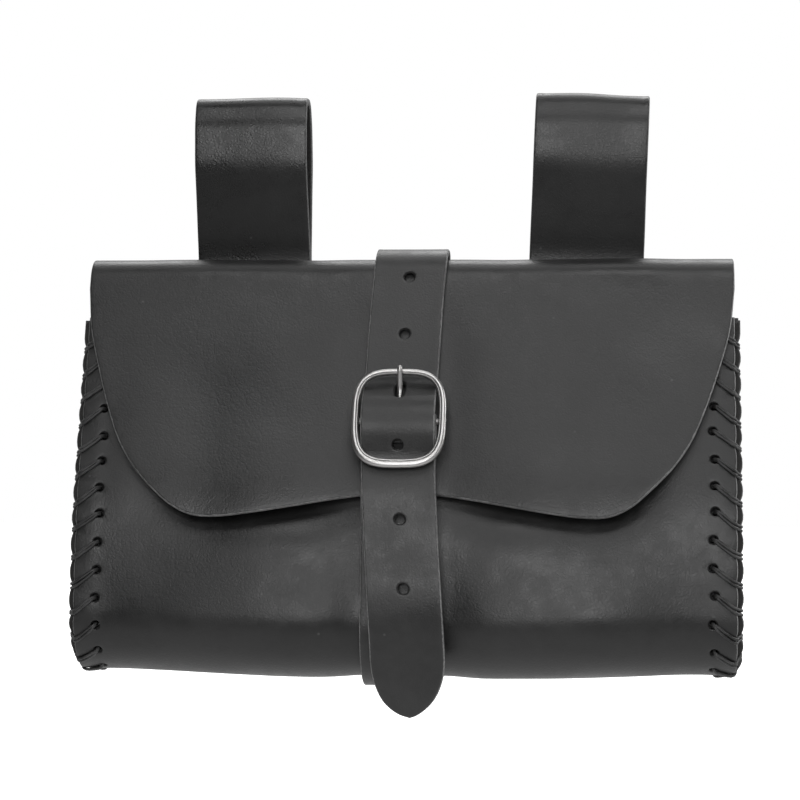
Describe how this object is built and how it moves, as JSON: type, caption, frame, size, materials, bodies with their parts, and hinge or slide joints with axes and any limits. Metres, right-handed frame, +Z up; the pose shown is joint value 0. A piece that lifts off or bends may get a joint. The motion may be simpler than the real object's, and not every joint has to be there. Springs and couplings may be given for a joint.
{
  "type": "belt pouch",
  "caption": "Black leather belt pouch with laced side gussets, a two-lobed flap held by a punched strap and a centre-bar buckle, and belt loops standing up from its back.",
  "frame": {"origin": "middle of the belt's way through the two loops, halfway between them in height and depth, on the pouch's middle plane", "axes": "+X to the pouch's right as seen from the front, the front with the flap and buckle faces -Y, +Z up"},
  "size_m": [0.2154, 0.0671, 0.2024],
  "materials": {
    "panel_leather": "matt black with a faint mottle, waxed",
    "gusset_leather": "matt black",
    "loop_leather": "matt black with a faint mottle",
    "strap_leather": "matt charcoal with paler cut edges",
    "buckle_metal": "antique silver, worn bright on its ridges"
  },
  "bodies": {
    "root": {"body_panel": "panel_leather", "gusset_left": "gusset_leather", "gusset_right": "gusset_leather", "belt_loop_left": "loop_leather", "belt_loop_right": "loop_leather", "closing_strap": "strap_leather", "buckle_strap": "strap_leather", "buckle_frame": "buckle_metal", "buckle_prong": "buckle_metal"}
  },
  "joints": []
}
